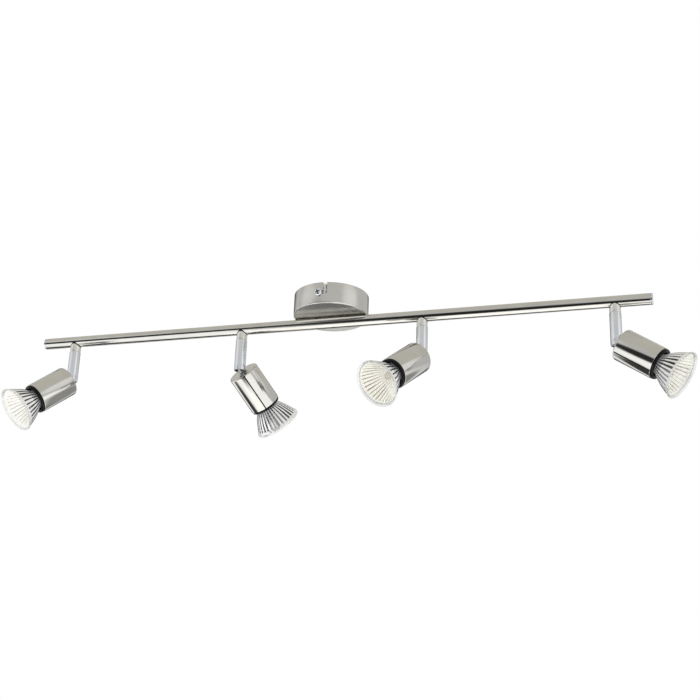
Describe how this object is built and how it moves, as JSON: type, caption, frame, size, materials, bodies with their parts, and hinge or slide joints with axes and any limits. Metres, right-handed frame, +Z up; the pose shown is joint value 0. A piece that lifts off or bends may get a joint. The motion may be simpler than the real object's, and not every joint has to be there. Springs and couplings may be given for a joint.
{
  "type": "ceiling spot bar",
  "caption": "Straight ceiling bar under a round canopy, carrying reflector spotlights that swivel on short arms and tilt to aim their light.",
  "frame": {"origin": "middle of the ceiling bracket's flat top face, on the ceiling", "axes": "+Z up into the ceiling, +X along the bar, -Y towards the front"},
  "size_m": [0.7347, 0.1393, 0.1423],
  "materials": {
    "nickel": "satin brushed nickel plate, warm grey",
    "chrome": "polished chrome plate",
    "zinc_steel": "zinc-plated steel",
    "brass": "plain brass",
    "black_plastic": "black moulded phenolic, half gloss",
    "white_plastic": "natural white nylon",
    "ceramic": "opaque steatite ceramic, matt",
    "reflector_glass": "pressed glass reflector with a silvered, ribbed bowl",
    "lens_glass": "clear front glass"
  },
  "bodies": {
    "fixture": {"canopy": "nickel", "ceiling_bracket": "zinc_steel", "canopy_screw_front": "chrome", "canopy_screw_back": "chrome", "terminal_block": "white_plastic", "earth_screw": "brass", "bar_tube": "nickel", "bar_cap_left": "chrome", "bar_cap_right": "chrome", "bar_nipple_left": "zinc_steel", "bar_nipple_right": "zinc_steel", "nipple_nut_left": "brass", "nipple_nut_right": "brass", "swivel_collar_1": "nickel", "swivel_rivet_1": "zinc_steel", "swivel_collar_2": "nickel", "swivel_rivet_2": "zinc_steel", "swivel_collar_3": "nickel", "swivel_rivet_3": "zinc_steel", "swivel_collar_4": "nickel", "swivel_rivet_4": "zinc_steel"},
    "arm_1": {"arm_tube_1": "chrome", "pivot_pin_1": "zinc_steel"},
    "head_1": {"tilt_tongue_1": "zinc_steel", "housing_1": "nickel", "lampholder_sleeve_1": "black_plastic", "lamp_socket_1": "ceramic"},
    "lamp_1": {"lamp_base_1": "ceramic", "lamp_reflector_1": "reflector_glass", "lamp_lens_1": "lens_glass"},
    "arm_2": {"arm_tube_2": "chrome", "pivot_pin_2": "zinc_steel"},
    "head_2": {"tilt_tongue_2": "zinc_steel", "housing_2": "nickel", "lampholder_sleeve_2": "black_plastic", "lamp_socket_2": "ceramic"},
    "lamp_2": {"lamp_base_2": "ceramic", "lamp_reflector_2": "reflector_glass", "lamp_lens_2": "lens_glass"},
    "arm_3": {"arm_tube_3": "chrome", "pivot_pin_3": "zinc_steel"},
    "head_3": {"tilt_tongue_3": "zinc_steel", "housing_3": "nickel", "lampholder_sleeve_3": "black_plastic", "lamp_socket_3": "ceramic"},
    "lamp_3": {"lamp_base_3": "ceramic", "lamp_reflector_3": "reflector_glass", "lamp_lens_3": "lens_glass"},
    "arm_4": {"arm_tube_4": "chrome", "pivot_pin_4": "zinc_steel"},
    "head_4": {"tilt_tongue_4": "zinc_steel", "housing_4": "nickel", "lampholder_sleeve_4": "black_plastic", "lamp_socket_4": "ceramic"},
    "lamp_4": {"lamp_base_4": "ceramic", "lamp_reflector_4": "reflector_glass", "lamp_lens_4": "lens_glass"}
  },
  "joints": [
    {"name": "swivel_1", "type": "hinge", "parent": "fixture", "child": "arm_1", "pos_m": [-0.2985, 0, -0.03], "axis": [0, 0, 1], "range_deg": [-133, 217]},
    {"name": "tilt_1", "type": "hinge", "parent": "arm_1", "child": "head_1", "pos_m": [-0.2985, 0, -0.0737], "axis": [-0.7431, 0.6691, 0], "range_deg": [-50, 40]},
    {"name": "lamp_twist_1", "type": "hinge", "parent": "head_1", "child": "lamp_1", "pos_m": [-0.2985, 0, -0.0737], "axis": [-0.5126, -0.5693, -0.6428], "range_deg": [0, 40]},
    {"name": "swivel_2", "type": "hinge", "parent": "fixture", "child": "arm_2", "pos_m": [-0.1, 0, -0.03], "axis": [0, 0, 1], "range_deg": [-326, 24]},
    {"name": "tilt_2", "type": "hinge", "parent": "arm_2", "child": "head_2", "pos_m": [-0.1, 0, -0.0737], "axis": [0.8746, -0.4848, 0], "range_deg": [-51, 39]},
    {"name": "lamp_twist_2", "type": "hinge", "parent": "head_2", "child": "lamp_2", "pos_m": [-0.1, 0, -0.0737], "axis": [0.3768, 0.6797, -0.6293], "range_deg": [0, 40]},
    {"name": "swivel_3", "type": "hinge", "parent": "fixture", "child": "arm_3", "pos_m": [0.1, 0, -0.03], "axis": [0, 0, 1], "range_deg": [-140, 210]},
    {"name": "tilt_3", "type": "hinge", "parent": "arm_3", "child": "head_3", "pos_m": [0.1, 0, -0.0737], "axis": [-0.8192, 0.5736, 0], "range_deg": [-52, 38]},
    {"name": "lamp_twist_3", "type": "hinge", "parent": "head_3", "child": "lamp_3", "pos_m": [0.1, 0, -0.0737], "axis": [-0.452, -0.6455, -0.6157], "range_deg": [0, 40]},
    {"name": "swivel_4", "type": "hinge", "parent": "fixture", "child": "arm_4", "pos_m": [0.2985, 0, -0.03], "axis": [0, 0, 1], "range_deg": [-255, 95]},
    {"name": "tilt_4", "type": "hinge", "parent": "arm_4", "child": "head_4", "pos_m": [0.2985, 0, -0.0737], "axis": [-0.1736, -0.9848, 0], "range_deg": [-55, 35]},
    {"name": "lamp_twist_4", "type": "hinge", "parent": "head_4", "child": "lamp_4", "pos_m": [0.2985, 0, -0.0737], "axis": [0.8067, -0.1422, -0.5736], "range_deg": [0, 40]}
  ]
}
